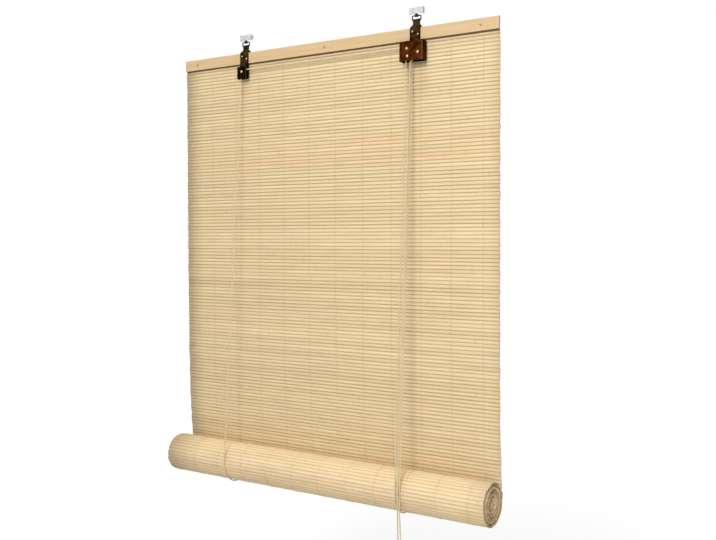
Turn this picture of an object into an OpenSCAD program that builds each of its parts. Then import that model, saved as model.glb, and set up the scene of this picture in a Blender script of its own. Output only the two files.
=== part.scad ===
/* [Mat] */
// Width of the mat, the front batten and the roll
blind_w = 800; // [600:10:1400]
// Height of one bamboo slat, from groove to groove
slat_pitch = 7.5; // [6:0.5:9]
// Thickness of a slat
slat_t = 2.2; // [1.6:0.1:2.6]
// Depth of the groove between two slats
groove_d = 0.7; // [0.3:0.1:0.7]
// Height of the groove between two slats
groove_h = 1.3; // [0.8:0.1:2]
// Slats that hang between the battens and the axis of the roll
hung_slats = 120; // [60:1:160]
// Slats clamped between the battens
clamped_slats = 3; // [2:1:3]

/* [Roll] */
// Mean outer radius of the roll
roll_r = 44; // [42:0.5:55]
// Distance that the hanging mat leans back on its way down to the roll
roll_back = 37; // [0:1:40]
// Slats wound up in the roll
rolled_slats = 171; // [100:1:175]
// Height of the bar in the core of the roll
bar_h = 23; // [16:1:24]
// Thickness of the bar in the core of the roll
bar_t = 8; // [5:1:9]

/* [Head rail] */
// Height of the front and rear batten
batten_h = 25; // [24:1:40]
// Thickness of the front batten
front_batten_t = 4; // [3.5:0.5:10]
// Thickness of the rear batten
rear_batten_t = 7; // [6:0.5:12]
// Distance of the rear batten's ends from the sides of the mat
rear_batten_inset = 10; // [0:1:15]
// Distance of the outer nails from the ends of the rail
nail_edge = 38; // [20:1:60]
// Radius of a nail's shank
nail_r = 1; // [0.8:0.1:1.2]
// Radius of a nail's head
nail_head_r = 2.5; // [2:0.1:3]

/* [Hangers] */
// Distance between the two hangers
hanger_spacing = 440; // [300:10:500]
// Width of a mounting plate
plate_w = 32; // [28:1:44]
// Radius of a mounting plate's tab round the screw hole
tab_r = 8; // [6:0.5:12]
// Depth of the turned-back ends of a mounting plate
plate_end_d = 6; // [3:0.5:10]
// Thickness of a mounting plate
plate_t = 1.5; // [1.2:0.1:2]
// Drop from the ceiling to the upper bar of the ring
ring_drop = 16; // [14:1:22]
// Radius of a screw hole
screw_r = 2.25; // [1.5:0.05:2.75]
// Outer width of a ring
ring_w = 22; // [20:1:28]
// Distance between the upper and lower bar of a ring
ring_h = 9; // [8:0.5:16]
// Radius of the ring's wire
wire_r = 1.2; // [1:0.1:1.4]
// Height of the lower bar of the ring above the rail
neck_h = 16; // [14:1:24]
// Width of the strap over the rail
strap_w = 24; // [22:1:30]
// Thickness of the strap and of the pulley covers
strap_t = 1.2; // [1:0.1:1.5]

/* [Pulley and lock] */
// Width of the left pulley cover
pulley_box_w = 26; // [25:1:36]
// Height of the left pulley cover
pulley_box_h = 27; // [25:1:36]
// Depth of the left pulley cover
pulley_box_d = 9.5; // [9:0.5:12]
// Width of the cord lock's cover
lock_box_w = 52; // [50:1:64]
// Height of the cord lock's cover
lock_box_h = 39; // [38:1:48]
// Depth of the cord lock's cover
lock_box_d = 17.5; // [17:0.5:22]
// Drop from the rail to the axles of both pulleys
axle_drop = 19.5; // [18:0.5:21]
// Radius of a pulley's flange
pulley_r = 7.5; // [7:0.1:8]
// Radius of the groove that carries the cord
pulley_groove_r = 3; // [2.8:0.1:4.2]
// Radius of the pins that carry the pulleys and the pawl
pin_r = 1.5; // [1.2:0.1:1.8]
// Diameter of a cord
cord_d = 3; // [2:0.1:3.2]

/* [Hidden] */
$fn = 48;

// One overrun for every cut
overrun = 1;
// Clearance of turning pieces on their pins and of nails in their holes
running_gap = 0.05;
// Clearance of the ring in its two knuckles
knuckle_gap = 0.1;
// Clearance between pieces that move past each other
moving_gap = 0.3;

// Mounting plate: hole behind the hook, tongue that carries the ring
screw_back = 14;
tongue_w = 6;
web_over_ring = 1;
hanger_x = hanger_spacing / 2;
hang_y = -screw_back;
ring_top_z = -ring_drop;
ring_low_z = ring_top_z - ring_h;
plate_knuckle_r = wire_r + knuckle_gap;
ring_corner_r = 2 * wire_r;

// Head rail: the mat is clamped between the battens, under the ring
rail_top = ring_low_z - neck_h;
rail_low = rail_top - batten_h;
mat_front = hang_y - slat_t / 2;
mat_back = hang_y + slat_t / 2;
rail_front = mat_front - front_batten_t;
rail_back = mat_back + rear_batten_t;
mat_top = rail_low + clamped_slats * slat_pitch;
roll_z = rail_low - hung_slats * slat_pitch;
nail_reach = blind_w / 2 - nail_edge;
nail_l = rail_back - rail_front - nail_r;
nail_head_h = 1.2;
batten_edge = 1;

// Strap: bent over the rail, narrowed at the neck
neck_gap = 0.9;
neck_w = ring_w - 4 * wire_r - 2 * neck_gap;
tent_h = 7.5;
strap_knuckle_r = wire_r + knuckle_gap;
rear_tab_h = 12;
cord_hole_r = cord_d / 2 + moving_gap;
cord_hole_drop = 7;
cord_hole_x = 5.5;
strap_nail_x = 6;
strap_nail_drops = [7.7, 14];
strap_nail_head_r = 2.1;
strap_front = rail_front - strap_t;
bevel = 3;

// Covers: top edges under the rail, open above and below
pulley_box_drop = 8;
lock_box_drop = 5;
cover_t = 1;
cover_corner_r = 1.6;
cord_slot_r = 2.4;
axle_z = rail_low - axle_drop;
cord_seat = 0.5;
cord_turn_r = pulley_groove_r + cord_seat + cord_d / 2;
cross_z = axle_z + cord_turn_r;
groove_back = 4.7;
groove_step = 6;
groove_y = strap_front - groove_back;
second_groove_y = groove_y - groove_step;

// Pulleys: flanges at both sides of each groove
flange_t = 1.4;
flange_reach = groove_step / 2;
hub_r = 2.6;
hub_gap = 0.25;
pin_head_r = 3;
pin_head_h = 1.6;
pin_tail_r = 2.4;
pin_tail_h = 0.8;

// Cord lock: places on the cover, measured from its top middle
lock_pulley_shift = 9;
guide_drop = 30;
pawl_edge = 10.5;
pawl_drop = 23.7;
lock_top = rail_low - lock_box_drop;
lock_pulley_x = hanger_x - lock_pulley_shift;
strand_x = lock_pulley_x + cord_turn_r;
guide_r = 1.8;
guide_x = strand_x - cord_d / 2 - moving_gap - guide_r;
guide_z = lock_top - guide_drop;
pawl_x = hanger_x + lock_box_w / 2 - pawl_edge;
pawl_z = lock_top - pawl_drop;
pawl_hub_r = 4.2;
pawl_tip_x = strand_x + cord_d / 2 + moving_gap;
pawl_w = 12;
pawl_tooth = 1;
pawl_teeth = 5;
pawl_tip_top = guide_z + pawl_teeth * pawl_tooth;
pawl_tip_low = pawl_tip_top - 2 * pawl_teeth * pawl_tooth;

// Roll: an oval spiral of flat slats that starts at the back, under the hanging mat
roll_wide_share = 1.05;
roll_flat_share = 1;
bar_gap = 1.5;
core_r = (bar_h / 2 + slat_t + bar_gap) / roll_flat_share;
rolled_l = rolled_slats * slat_pitch;
turn_pitch = PI * (roll_r * roll_r - core_r * core_r) / rolled_l;
roll_y = mat_back + roll_back - roll_r * roll_wide_share;
bar_inset = 2;
straight_share = 0.6;
bow_power = 8;

// Cord routes, in points chosen by hand
cord_sides = 8;
left_cord_x = -225.5;
right_cord_x = 213;
sling_route = [[26.5, -966], [24.5, -978], [19.5, -989], [11.5, -998.5], [1.5, -1005.5],
    [-10, -1010], [-22, -1011], [-34.5, -1009.5], [-45.5, -1005], [-55, -997.5],
    [-62.5, -988.5], [-67, -977.5], [-68.5, -966]];
left_back_route = [[-225.5, -4.5, -73], [-225.5, -6.5, -73], [-225.5, -9, -75.5], [-225.5, -10, -85],
    [-225.5, 26.5, -965.5]];
right_back_route = [[214.5, -4.5, -73], [214.5, -6.5, -73], [214.5, -9, -75.5], [214.5, -10, -85],
    [213, 26.5, -965.5]];
left_front_route = [[-225, -25, -102], [-225.5, -68.5, -965.5]];
right_front_route = [[206, -31, -111.5], [213, -68.5, -965.5]];
cross_route = [[-225, -25, -101.5], [-225, -25, -85.5], [-224.3, -25, -83], [-222.5, -25, -81.2],
    [-220, -25, -80.5], [211, -25, -80.5], [213.5, -25, -81.2], [215.3, -25, -83], [216, -25, -85.5],
    [216, -25, -111]];
lock_route = [[206, -31, -111], [206, -31, -85.5], [206.7, -31, -83], [208.5, -31, -81.2],
    [211, -31, -80.5], [213.5, -31, -81.2], [215.3, -31, -83], [216, -31, -85.5], [216, -31, -111]];
pull_routes = [[[216, -25, -111.5], [223.2, -68.5, -965.5]],
    [[216, -31, -111.5], [219.2, -68.5, -965.5]]];
tail_routes = [[[223.2, -68.5, -966], [223.8, -69, -1000], [226.5, -69, -1040], [228.5, -69, -1070]],
    [[219.2, -68.5, -966], [219.4, -69, -1000], [220.8, -69, -1040], [222, -69, -1078]]];
back_knot_places = [[-225.5, -1, -73], [214.5, -1, -73]];
pull_knot_places = [[228.7, -69, -1073.5], [222.1, -69, -1081.5]];
knot_r = 3.4;
knot_h = 6.5;

bamboo = "burlywood";
pale_wood = "wheat";
dark_steel = [0.13, 0.1, 0.09];
brown_steel = [0.27, 0.15, 0.11];
bright_steel = "silver";
cord_cream = "antiquewhite";

// Vectors for the sweep of a cord
function unit(v) = v / norm(v);
function clamp_index(i, n) = max(0, min(n - 1, i));
function tangent(path, i) =
    unit(path[clamp_index(i + 1, len(path))] - path[clamp_index(i - 1, len(path))]);
function cord_ring(path, i, side_axis, r) =
    let (t = tangent(path, i))
    let (u = unit(cross(t, side_axis)))
    let (v = cross(t, u))
    [for (k = [0 : cord_sides - 1])
        let (a = 360 * k / cord_sides)
        path[i] + r * (u * cos(a) + v * sin(a))];

// Round cord swept along a route; side_axis is square to the plane of its bends
module cord(path, side_axis = [1, 0, 0]) {
    n = len(path);
    points = [for (i = [0 : n - 1]) each cord_ring(path, i, side_axis, cord_d / 2)];
    sides = [for (i = [0 : n - 2], k = [0 : cord_sides - 1])
        let (next = (k + 1) % cord_sides)
        [i * cord_sides + k, (i + 1) * cord_sides + k,
            (i + 1) * cord_sides + next, i * cord_sides + next]];
    first_cap = [for (k = [0 : cord_sides - 1]) k];
    last_cap = [for (k = [cord_sides - 1 : -1 : 0]) (n - 1) * cord_sides + k];
    color(cord_cream) polyhedron(points, concat(sides, [first_cap, last_cap]));
}

// Knot as a small turned bead, its axis along Z
module knot(place) {
    color(cord_cream) translate(place) rotate_extrude()
        intersection() {
            scale([knot_r, knot_h / 2]) circle(1);
            translate([0, -knot_h]) square([knot_r, 2 * knot_h]);
        }
}

// Puts a profile drawn in Y and Z along X, from the middle out to both sides
module along_x(l) {
    rotate([90, 0, 90]) linear_extrude(l, center = true) children();
}

// Puts an outline drawn in X and Z along Y, from front_y backwards
module along_y(front_y, l) {
    translate([0, front_y + l, 0]) rotate([90, 0, 0]) linear_extrude(l) children();
}

// Round bar along Y, from front_y backwards
module bar_y(x, z, r, front_y, l) {
    translate([x, front_y, z]) rotate([-90, 0, 0]) cylinder(l, r = r);
}

// Rectangle with round corners, made of exact arcs
module rounded_rect(w, h, r) {
    translate([-w / 2 + r, -h / 2]) square([w - 2 * r, h]);
    translate([-w / 2, -h / 2 + r]) square([w, h - 2 * r]);
    for (x = [-1, 1], y = [-1, 1]) translate([x * (w / 2 - r), y * (h / 2 - r)]) circle(r);
}

// Mounting plate: tab round the screw hole, web with turned-back ends, tongue curled into a knuckle
module mounting_plate(x) {
    curl_r = plate_knuckle_r + plate_t;
    web_front = hang_y - curl_r;
    web_h = ring_drop - web_over_ring - curl_r;
    color("whitesmoke") translate([x, 0, 0]) {
        difference() {
            union() {
                translate([-tab_r, web_front, -plate_t]) cube([2 * tab_r, -web_front, plate_t]);
                translate([0, 0, -plate_t]) cylinder(plate_t, r = tab_r);
            }
            translate([0, 0, -plate_t - overrun]) cylinder(plate_t + 2 * overrun, r = screw_r);
        }
        translate([-plate_w / 2, web_front, -web_h]) difference() {
            cube([plate_w, plate_end_d, web_h]);
            translate([plate_t, plate_t, -overrun])
                cube([plate_w - 2 * plate_t, plate_end_d, web_h + 2 * overrun]);
        }
        along_x(tongue_w) difference() {
            union() {
                translate([web_front, ring_top_z]) square([plate_t, ring_drop]);
                translate([hang_y, ring_top_z]) circle(curl_r);
            }
            translate([hang_y, ring_top_z]) circle(plate_knuckle_r);
        }
    }
}

// Ring: a closed link of round wire with round corners
module ring(x) {
    half_w = ring_w / 2 - wire_r;
    color("dimgray") translate([x, hang_y, (ring_top_z + ring_low_z) / 2]) rotate([90, 0, 0]) {
        for (s = [0, 180]) rotate(s) {
            translate([half_w, 0, 0]) rotate([90, 0, 0])
                cylinder(ring_h - 2 * ring_corner_r, r = wire_r, center = true);
            translate([0, ring_h / 2, 0]) rotate([0, 90, 0])
                cylinder(2 * (half_w - ring_corner_r), r = wire_r, center = true);
            for (m = [0, 1]) mirror([m, 0, 0])
                translate([half_w - ring_corner_r, ring_h / 2 - ring_corner_r, 0])
                    rotate_extrude(angle = 90) translate([ring_corner_r, 0]) circle(wire_r);
        }
    }
}

// Batten with lightly bevelled long edges, bored for the nails
module batten(y, t, l) {
    color(pale_wood) difference() {
        along_x(l) translate([y + t / 2, rail_top - batten_h / 2])
            rounded_rect(t, batten_h, batten_edge);
        nail_holes();
    }
}

// Every nail hole in the rail, drilled from the front
module nail_holes() {
    for (x = [-nail_reach, 0, nail_reach])
        bar_y(x, rail_top - batten_h / 2, nail_r + running_gap, rail_front - overrun, nail_l + overrun);
    for (side = [-1, 1], i = [0, 1])
        bar_y(side * hanger_x + (2 * i - 1) * strap_nail_x, rail_top - strap_nail_drops[i],
            nail_r + running_gap, rail_front - overrun, nail_l + overrun);
}

// Domed head and shank, its head's flat face at front_y
module nail(x, z, front_y, head_r, l) {
    bar_y(x, z, nail_r, front_y, l);
    translate([x, front_y, z]) rotate([90, 0, 0]) rotate_extrude() intersection() {
        scale([head_r, nail_head_h]) circle(1);
        square([head_r, nail_head_h]);
    }
}

module batten_nails() {
    color(bright_steel) for (x = [-nail_reach, 0, nail_reach])
        nail(x, rail_top - batten_h / 2, rail_front, nail_head_r, nail_l - nail_r);
}

module strap_nails(side) {
    color(bright_steel) for (i = [0, 1])
        nail(side * hanger_x + (2 * i - 1) * strap_nail_x, rail_top - strap_nail_drops[i],
            strap_front, strap_nail_head_r, nail_l - nail_r);
}

// Side view of a strap: front leaf, tent over the rail, knuckle and rear leaf
module strap_profile(low) {
    tent_top = rail_top + tent_h;
    difference() {
        union() {
            polygon([[strap_front, low], [rail_front, low], [rail_front, rail_top],
                [hang_y, tent_top - strap_t], [rail_back, rail_top], [rail_back, rail_low - rear_tab_h],
                [rail_back + strap_t, rail_low - rear_tab_h], [rail_back + strap_t, rail_top + strap_t / 2],
                [hang_y + strap_t, tent_top], [hang_y + strap_t, ring_low_z],
                [hang_y - strap_t, ring_low_z], [hang_y - strap_t, tent_top],
                [strap_front, rail_top + strap_t / 2]]);
            translate([hang_y, ring_low_z]) circle(strap_knuckle_r + strap_t);
        }
        translate([hang_y, ring_low_z]) circle(strap_knuckle_r);
    }
}

// Front view of a strap: neck, sloped shoulders, strap and the plate behind a cover
module strap_outline(box_w, box_top, box_low) {
    neck = neck_w / 2;
    wide = strap_w / 2;
    box = box_w / 2;
    top = ring_low_z + strap_knuckle_r + strap_t + overrun;
    half = [[neck, top], [neck, rail_top + tent_h], [wide, rail_top], [wide, box_top + bevel],
        [box, box_top], [box, box_low]];
    mirrored = [for (i = [len(half) - 1 : -1 : 0]) [-half[i][0], half[i][1]]];
    polygon(concat(half, mirrored));
}

// Strap of one hanger; the rear leaf ends in a tab with the hole for the lift cord's end
module strap(side, box_w, box_drop, box_h) {
    box_top = rail_low - box_drop;
    box_low = box_top - box_h;
    depth = rail_back - strap_front + 2 * strap_t;
    color(dark_steel) difference() {
        translate([side * hanger_x, 0, 0]) intersection() {
            along_x(max(box_w, strap_w)) strap_profile(box_low);
            union() {
                along_y(strap_front - overrun, depth + overrun) strap_outline(strap_w, box_top, box_low);
                along_y(strap_front - overrun, strap_t + 2 * overrun) strap_outline(box_w, box_top, box_low);
            }
        }
        bar_y(side * hanger_x - cord_hole_x, rail_low - cord_hole_drop, cord_hole_r,
            rail_back - overrun, strap_t + 2 * overrun);
        for (i = [0, 1])
            bar_y(side * hanger_x + (2 * i - 1) * strap_nail_x, rail_top - strap_nail_drops[i],
                nail_r + running_gap, strap_front - overrun, strap_t + 2 * overrun);
        children();
    }
}

// Hole for a pin through a cover and the strap behind it
module pin_hole(x, z, d) {
    bar_y(x, z, pin_r + running_gap, strap_front - d - overrun, d + strap_t + 2 * overrun);
}

module left_strap() {
    strap(-1, pulley_box_w, pulley_box_drop, pulley_box_h) pin_hole(-hanger_x, axle_z, pulley_box_d);
}

module lock_pin_holes() {
    pin_hole(lock_pulley_x, axle_z, lock_box_d);
    pin_hole(guide_x, guide_z, lock_box_d);
    pin_hole(pawl_x, pawl_z, lock_box_d);
}

module right_strap() {
    strap(1, lock_box_w, lock_box_drop, lock_box_h) lock_pin_holes();
}

// Cover: front and two side walls bent from one sheet, open at the top and bottom
module cover(x, box_w, box_d, box_drop, box_h) {
    box_low = rail_low - box_drop - box_h;
    translate([x, strap_front - box_d / 2, box_low]) linear_extrude(box_h) difference() {
        translate([0, cover_corner_r / 2]) rounded_rect(box_w, box_d + cover_corner_r, cover_corner_r);
        translate([0, cover_t + cover_corner_r / 2])
            rounded_rect(box_w - 2 * cover_t, box_d + cover_corner_r, cover_corner_r - cover_t);
        translate([-box_w / 2 - overrun, box_d / 2]) square([box_w + 2 * overrun, 2 * cover_corner_r]);
    }
}

// Cutter for the slot where the crossing cord passes a cover's side wall
module cord_slot(x, box_w, slot_side) {
    translate([x + slot_side * (box_w - cover_t) / 2, groove_y, cross_z]) rotate([0, 90, 0])
        cylinder(cover_t + 2 * overrun, r = cord_slot_r, center = true);
}

module left_pulley_cover() {
    color(dark_steel) difference() {
        cover(-hanger_x, pulley_box_w, pulley_box_d, pulley_box_drop, pulley_box_h);
        pin_hole(-hanger_x, axle_z, pulley_box_d);
        cord_slot(-hanger_x, pulley_box_w, 1);
    }
}

module lock_cover() {
    color(brown_steel) difference() {
        cover(hanger_x, lock_box_w, lock_box_d, lock_box_drop, lock_box_h);
        lock_pin_holes();
        cord_slot(hanger_x, lock_box_w, -1);
    }
}

// Pulley turned about Y, with a flange at both sides of each groove
module pulley(x, box_d, grooves) {
    hub_low = strap_front - box_d + cover_t + hub_gap;
    hub_l = strap_front - hub_gap - hub_low;
    places = concat([grooves[0] + flange_reach], [for (g = grooves) g - flange_reach]);
    color("saddlebrown") difference() {
        union() {
            bar_y(x, axle_z, hub_r, hub_low, hub_l);
            bar_y(x, axle_z, pulley_groove_r, min(places), max(places) - min(places));
            for (y = places) bar_y(x, axle_z, pulley_r, y - flange_t / 2, flange_t);
        }
        bar_y(x, axle_z, pin_r + running_gap, hub_low - overrun, hub_l + 2 * overrun);
    }
}

// Riveted pin: domed head in front of a cover, flat tail behind the strap
module pin(x, z, box_d) {
    front = strap_front - box_d;
    color(bright_steel) {
        bar_y(x, z, pin_r, front, box_d + strap_t);
        bar_y(x, z, pin_tail_r, strap_front + strap_t, pin_tail_h);
        translate([x, front, z]) rotate([90, 0, 0]) rotate_extrude() intersection() {
            scale([pin_head_r, pin_head_h]) circle(1);
            square([pin_head_r, pin_head_h]);
        }
    }
}

// Guide pin: a riveted pin with a thick middle that the cords are pressed against
module lock_guide_pin() {
    pin(guide_x, guide_z, lock_box_d);
    color(bright_steel)
        bar_y(guide_x, guide_z, guide_r, strap_front - lock_box_d + cover_t, lock_box_d - cover_t);
}

// Pawl: a toothed lever whose tip presses the cords against the guide pin
module lock_pawl() {
    tip_h = pawl_tip_top - pawl_tip_low;
    step = tip_h / pawl_teeth;
    teeth = [for (i = [0 : pawl_teeth - 1]) each
        [[pawl_tip_x + pawl_tooth, pawl_tip_top - i * step],
            [pawl_tip_x, pawl_tip_top - (i + 1) * step + step / pawl_teeth]]];
    back = pawl_x - pawl_hub_r / 2;
    outline = concat(teeth, [[pawl_tip_x + pawl_tooth, pawl_tip_low],
        [back, pawl_z - pawl_hub_r], [back, pawl_z + pawl_hub_r]]);
    front = strap_front - lock_box_d / 2 - pawl_w / 2;
    color("gray") difference() {
        union() {
            along_y(front, pawl_w) polygon(outline);
            bar_y(pawl_x, pawl_z, pawl_hub_r, front, pawl_w);
        }
        bar_y(pawl_x, pawl_z, pin_r + running_gap, front - overrun, pawl_w + 2 * overrun);
    }
}

// Pawl's pin with sleeves that keep the pawl in the middle of the cover
module lock_pawl_pin() {
    inner_d = lock_box_d - cover_t;
    front = strap_front - inner_d;
    pawl_front = strap_front - lock_box_d / 2 - pawl_w / 2;
    pawl_back = pawl_front + pawl_w;
    pin(pawl_x, pawl_z, lock_box_d);
    color(bright_steel) {
        bar_y(pawl_x, pawl_z, pin_tail_r, front, pawl_front - front - moving_gap);
        bar_y(pawl_x, pawl_z, pin_tail_r, pawl_back + moving_gap, strap_front - pawl_back - moving_gap);
    }
}

// Distance that the hanging mat lies behind the rail's middle at a height
function lean_at(z) =
    let (t = max(0, (rail_low - z) / (rail_low - roll_z)))
    roll_back * (straight_share * t + (1 - straight_share) * pow(t, bow_power));

// Hanging mat: one wall with a ridge for every slat, front and back, bowed back to the roll
module hanging_mat() {
    n = clamped_slats + hung_slats;
    low = roll_z + moving_gap;
    front = [for (i = [0 : n - 1]) let (z = mat_top - i * slat_pitch) each
        [[mat_front, z - groove_h / 2], [mat_front, z - slat_pitch + groove_h / 2],
            [mat_front + groove_d, max(low, z - slat_pitch)]]];
    back = [for (i = [n - 1 : -1 : 0]) let (z = mat_top - i * slat_pitch) each
        [[mat_back - groove_d, max(low, z - slat_pitch)], [mat_back, z - slat_pitch + groove_h / 2],
            [mat_back, z - groove_h / 2]]];
    ends = [[mat_back - groove_d, mat_top], [mat_front + groove_d, mat_top]];
    color(bamboo) difference() {
        along_x(blind_w) polygon([for (p = concat(front, back, ends)) p + [lean_at(p[1]), 0]]);
        nail_holes();
    }
}

// Turn angle in radians at a length along the winding, and the radius there
function wound_angle(s) = (roll_r - sqrt(roll_r * roll_r - turn_pitch * s / PI)) * 2 * PI / turn_pitch;
function wound_r(angle) = roll_r - turn_pitch * angle / (2 * PI);

// Point of the winding, inset towards the core, in Y and Z
function wound_point(s, inset) =
    let (angle = wound_angle(s))
    let (turn = angle * 180 / PI)
    let (r = wound_r(angle))
    [roll_y + (r * roll_wide_share - inset) * cos(turn), roll_z - (r * roll_flat_share - inset) * sin(turn)];

// Roll: the spiral of slats, with a groove outside between each two
module mat_roll() {
    outer = [for (i = [0 : rolled_slats - 1]) let (s = i * slat_pitch) each
        [wound_point(s + groove_h / 2, 0), wound_point(s + slat_pitch - groove_h / 2, 0),
            wound_point(s + slat_pitch, groove_d)]];
    inner = [for (i = [rolled_slats : -1 : 0]) wound_point(i * slat_pitch, slat_t)];
    color(bamboo) along_x(blind_w) polygon(concat([wound_point(0, groove_d)], outer, inner));
}

// Wooden bar in the core of the roll, its narrow side seated on the mat's last slat
module bottom_bar() {
    last = wound_point(rolled_l, slat_t);
    before = wound_point(rolled_l - slat_pitch, slat_t);
    lie = atan2(last[1] - before[1], last[0] - before[0]);
    color(pale_wood) along_x(blind_w - 2 * bar_inset) translate((last + before) / 2) rotate(lie)
        translate([0, -bar_h / 2 - running_gap]) rounded_rect(bar_t, bar_h, batten_edge);
}

// Cord under the roll, from behind the mat to the front
module sling(x) {
    cord([for (p = sling_route) [x, p[0], p[1]]]);
}

mounting_plate(-hanger_x);  // left_mounting_plate
mounting_plate(hanger_x);  // right_mounting_plate
ring(-hanger_x);  // left_ring
ring(hanger_x);  // right_ring
batten(rail_front, front_batten_t, blind_w);  // front_batten
batten(mat_back, rear_batten_t, blind_w - 2 * rear_batten_inset);  // rear_batten
batten_nails();
left_strap();
right_strap();
strap_nails(-1);  // left_strap_nails
strap_nails(1);  // right_strap_nails
left_pulley_cover();
pulley(-hanger_x, pulley_box_d, [groove_y]);  // left_pulley
pin(-hanger_x, axle_z, pulley_box_d);  // left_pulley_pin
lock_cover();
pulley(lock_pulley_x, lock_box_d, [groove_y, second_groove_y]);  // lock_pulley
pin(lock_pulley_x, axle_z, lock_box_d);  // lock_pulley_pin
lock_guide_pin();
lock_pawl();
lock_pawl_pin();
hanging_mat();
mat_roll();
bottom_bar();
cord(left_back_route);  // left_back_cord
cord(right_back_route);  // right_back_cord
sling(left_cord_x);  // left_sling_cord
sling(right_cord_x);  // right_sling_cord
cord(left_front_route);  // left_front_cord
cord(right_front_route);  // right_front_cord
cord(cross_route, [0, 1, 0]);  // cross_cord
cord(lock_route, [0, 1, 0]);  // lock_cord
for (route = pull_routes) cord(route);  // pull_cords
for (route = tail_routes) cord(route, [0, 1, 0]);  // pull_tails
for (place = back_knot_places) knot(place);  // back_knots
for (place = pull_knot_places) knot(place);  // pull_knots
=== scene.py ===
import math
import random

import bpy
from mathutils import Matrix, Vector


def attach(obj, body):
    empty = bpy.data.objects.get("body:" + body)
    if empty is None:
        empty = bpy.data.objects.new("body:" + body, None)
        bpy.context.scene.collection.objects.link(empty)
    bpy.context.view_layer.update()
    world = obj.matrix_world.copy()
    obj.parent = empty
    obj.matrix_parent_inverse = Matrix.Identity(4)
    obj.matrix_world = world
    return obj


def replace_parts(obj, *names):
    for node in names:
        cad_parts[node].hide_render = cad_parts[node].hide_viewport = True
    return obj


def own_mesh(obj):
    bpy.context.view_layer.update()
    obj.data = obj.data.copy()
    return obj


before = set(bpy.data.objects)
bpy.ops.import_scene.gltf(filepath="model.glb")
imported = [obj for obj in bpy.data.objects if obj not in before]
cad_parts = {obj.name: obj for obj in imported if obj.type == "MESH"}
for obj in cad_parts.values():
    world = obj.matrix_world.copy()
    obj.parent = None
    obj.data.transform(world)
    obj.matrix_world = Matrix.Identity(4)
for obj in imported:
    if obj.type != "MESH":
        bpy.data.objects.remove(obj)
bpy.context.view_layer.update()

MM = 0.001

# Sizes of the blind in millimetres, with counts and shares, as in the part's source
BLIND_W = 800
SLAT_PITCH = 7.5
SLAT_T = 2.2
HUNG_SLATS = 120
CLAMPED_SLATS = 3
ROLLED_SLATS = 171
HANG_Y = -14
RAIL_LOW = -66
ROLL_Z = RAIL_LOW - HUNG_SLATS * SLAT_PITCH
ROLL_R = 44
CORE_R = 15.2
ROLL_WIDE_SHARE = 1.05
ROLL_BACK = 37
STRAIGHT_SHARE = 0.6
BOW_POWER = 8
ROLL_Y = HANG_Y + SLAT_T / 2 + ROLL_BACK - ROLL_R * ROLL_WIDE_SHARE
TURN_PITCH = math.pi * (ROLL_R ** 2 - CORE_R ** 2) / (ROLLED_SLATS * SLAT_PITCH)
CORD_R = 1.5

# Routes of the cords in millimetres, as in the part's source
SLING = [(26.5, -966), (24.5, -978), (19.5, -989), (11.5, -998.5), (1.5, -1005.5), (-10, -1010),
         (-22, -1011), (-34.5, -1009.5), (-45.5, -1005), (-55, -997.5), (-62.5, -988.5),
         (-67, -977.5), (-68.5, -966)]
LEFT_BACK = [(-225.5, -4.5, -73), (-225.5, -6.5, -73), (-225.5, -9, -75.5), (-225.5, -10, -85),
             (-225.5, 26.5, -965.5)]
RIGHT_BACK = [(214.5, -4.5, -73), (214.5, -6.5, -73), (214.5, -9, -75.5), (214.5, -10, -85),
              (213, 26.5, -965.5)]
LEFT_FRONT = [(-225, -25, -102), (-225.5, -68.5, -965.5)]
RIGHT_FRONT = [(206, -31, -111.5), (213, -68.5, -965.5)]
CROSS = [(-225, -25, -101.5), (-225, -25, -85.5), (-224.3, -25, -83), (-222.5, -25, -81.2),
         (-220, -25, -80.5), (211, -25, -80.5), (213.5, -25, -81.2), (215.3, -25, -83), (216, -25, -85.5),
         (216, -25, -111)]
LOCK = [(206, -31, -111), (206, -31, -85.5), (206.7, -31, -83), (208.5, -31, -81.2),
        (211, -31, -80.5), (213.5, -31, -81.2), (215.3, -31, -83), (216, -31, -85.5), (216, -31, -111)]
PULLS = [[(216, -25, -111.5), (223.2, -68.5, -965.5)], [(216, -31, -111.5), (219.2, -68.5, -965.5)]]
TAILS = [[(223.2, -68.5, -966), (223.8, -69, -1000), (226.5, -69, -1040), (228.5, -69, -1070)],
         [(219.2, -68.5, -966), (219.4, -69, -1000), (220.8, -69, -1040), (222, -69, -1078)]]
BACK_KNOTS = [(-225.5, -1, -73), (214.5, -1, -73)]
PULL_KNOTS = [(228.7, -69, -1073.5), (222.1, -69, -1081.5)]
LEFT_CORD_X = -225.5
RIGHT_CORD_X = 213


# Camera: picture sizes in pixels, turns in radians, the sensor in millimetres and distances in metres

FOCAL_PX = 870
PICTURE_W_PX = 716
MIDDLE_ROW_PX = 270
AXIS_ROW_PX = 259.25
CAMERA_YAW = 0.56445
CAMERA_PITCH = -0.00446
CAMERA_ROLL = 0.01086
CAMERA_PLACE = (1.0585, -1.5481, -0.4974)
SENSOR_W = 36
VIEW_END = 50


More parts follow.
